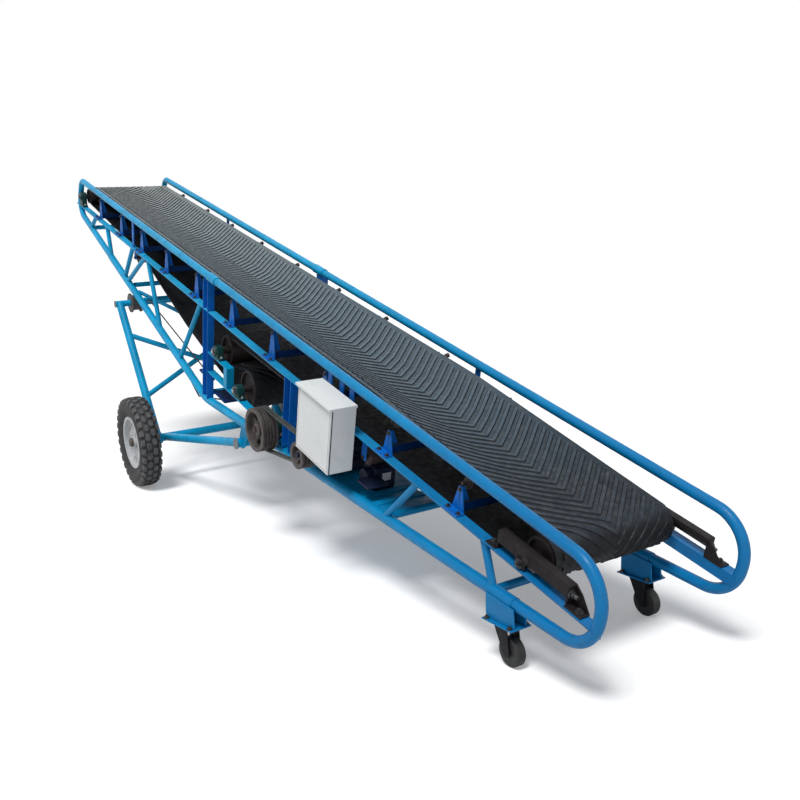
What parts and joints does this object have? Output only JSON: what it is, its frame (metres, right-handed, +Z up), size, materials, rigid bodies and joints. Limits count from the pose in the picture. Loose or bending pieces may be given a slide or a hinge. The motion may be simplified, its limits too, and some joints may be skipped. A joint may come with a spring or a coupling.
{
  "type": "portable belt conveyor",
  "caption": "Wheeled inclined conveyor with a troughed belt in a tubular side-rail truss, belt drive, road wheels, tail castors and swinging undercarriage.",
  "frame": {"origin": "on the floor, in the middle of the machine's length and width", "axes": "X runs level from the high head end to the low tail end, Y from the side with the control box to the other, Z up"},
  "size_m": [6.5647, 1.4428, 2.3952],
  "materials": {
    "azure_paint": "gloss enamel, worn at the edges",
    "dark_blue_paint": "gloss enamel",
    "light_blue_paint": "gloss enamel",
    "belt_rubber": "matt dusty rubber",
    "drum_steel": "dull oxidised steel",
    "bright_steel": "turned steel",
    "green_iron": "painted cast iron",
    "sheave_iron": "machined cast iron",
    "motor_paint": "gloss enamel on cast iron",
    "black_rubber": "matt rubber",
    "box_grey": "semi-gloss powder coat",
    "takeup_iron": "dark paint",
    "tyre_rubber": "matt rubber",
    "silver_paint": "silver wheel enamel",
    "castor_black": "moulded plastic",
    "zinc": "zinc plate"
  },
  "bodies": {
    "frame": {"near_head_rail": "azure_paint", "near_tail_rail": "azure_paint", "near_boom": "azure_paint", "near_bracing": "azure_paint", "near_mid_chord": "light_blue_paint", "near_posts": "dark_blue_paint", "far_head_rail": "azure_paint", "far_tail_rail": "azure_paint", "far_boom": "azure_paint", "far_bracing": "azure_paint", "far_mid_chord": "light_blue_paint", "far_posts": "dark_blue_paint", "cross_tubes": "azure_paint", "belt": "belt_rubber", "head_pulley": "drum_steel", "tail_pulley": "drum_steel", "drive_drum": "drum_steel", "snub_drum": "drum_steel", "return_rollers": "drum_steel", "roller_hangers": "azure_paint", "idler_frames": "dark_blue_paint", "idler_brackets": "azure_paint", "idler_rollers": "drum_steel", "pillow_blocks": "green_iron", "bearers": "azure_paint", "counter_shaft": "bright_steel", "drive_sheave": "sheave_iron", "motor_sheave": "sheave_iron", "v_belts": "black_rubber", "motor": "motor_paint", "motor_base": "dark_blue_paint", "chain_case": "azure_paint", "takeup_frames": "takeup_iron", "slide_blocks": "bright_steel", "control_box": "box_grey", "pivot_plates": "azure_paint", "castor_brackets": "dark_blue_paint"},
    "door": {"box_door": "box_grey"},
    "arms": {"arm_frame": "azure_paint"},
    "legs": {"leg_frame": "azure_paint", "guide_rollers": "sheave_iron"},
    "near_road_wheel": {"near_tyre": "tyre_rubber", "near_wheel": "silver_paint"},
    "far_road_wheel": {"far_tyre": "tyre_rubber", "far_wheel": "silver_paint"},
    "near_fork": {"near_castor_fork": "zinc"},
    "far_fork": {"far_castor_fork": "zinc"},
    "near_castor": {"near_castor_wheel": "castor_black"},
    "far_castor": {"far_castor_wheel": "castor_black"}
  },
  "joints": [
    {"name": "door_swing", "type": "hinge", "parent": "frame", "child": "door", "pos_m": [1.28464, -0.5426, 0.84744], "axis": [-0.279, 0, -0.9603], "range_deg": [0, 110]},
    {"name": "arm_swing", "type": "hinge", "parent": "frame", "child": "arms", "pos_m": [0.01995, 0, 0.47655], "axis": [0, -1, 0], "range_deg": [-14, 14]},
    {"name": "leg_swing", "type": "hinge", "parent": "arms", "child": "legs", "pos_m": [-1.26351, 0, 0.335], "axis": [0, -1, 0], "range_deg": [-29.5, 29.5]},
    {"name": "near_wheel_spin", "type": "hinge", "parent": "arms", "child": "near_road_wheel", "pos_m": [-1.26351, -0.646, 0.335], "axis": [0, 1, 0], "continuous": true},
    {"name": "far_wheel_spin", "type": "hinge", "parent": "arms", "child": "far_road_wheel", "pos_m": [-1.26351, 0.646, 0.335], "axis": [0, 1, 0], "continuous": true},
    {"name": "near_castor_swivel", "type": "hinge", "parent": "frame", "child": "near_fork", "pos_m": [2.70347, -0.38, 0.15], "axis": [0, 0, 1], "continuous": true},
    {"name": "near_castor_roll", "type": "hinge", "parent": "near_fork", "child": "near_castor", "pos_m": [2.73547, -0.38, 0.062], "axis": [0, 1, 0], "continuous": true},
    {"name": "far_castor_swivel", "type": "hinge", "parent": "frame", "child": "far_fork", "pos_m": [2.70347, 0.38, 0.15], "axis": [0, 0, 1], "continuous": true},
    {"name": "far_castor_roll", "type": "hinge", "parent": "far_fork", "child": "far_castor", "pos_m": [2.73547, 0.38, 0.062], "axis": [0, 1, 0], "continuous": true}
  ],
  "couplings": [
    {"joint": "leg_swing", "follows": "arm_swing", "ratio": -2.0827}
  ]
}
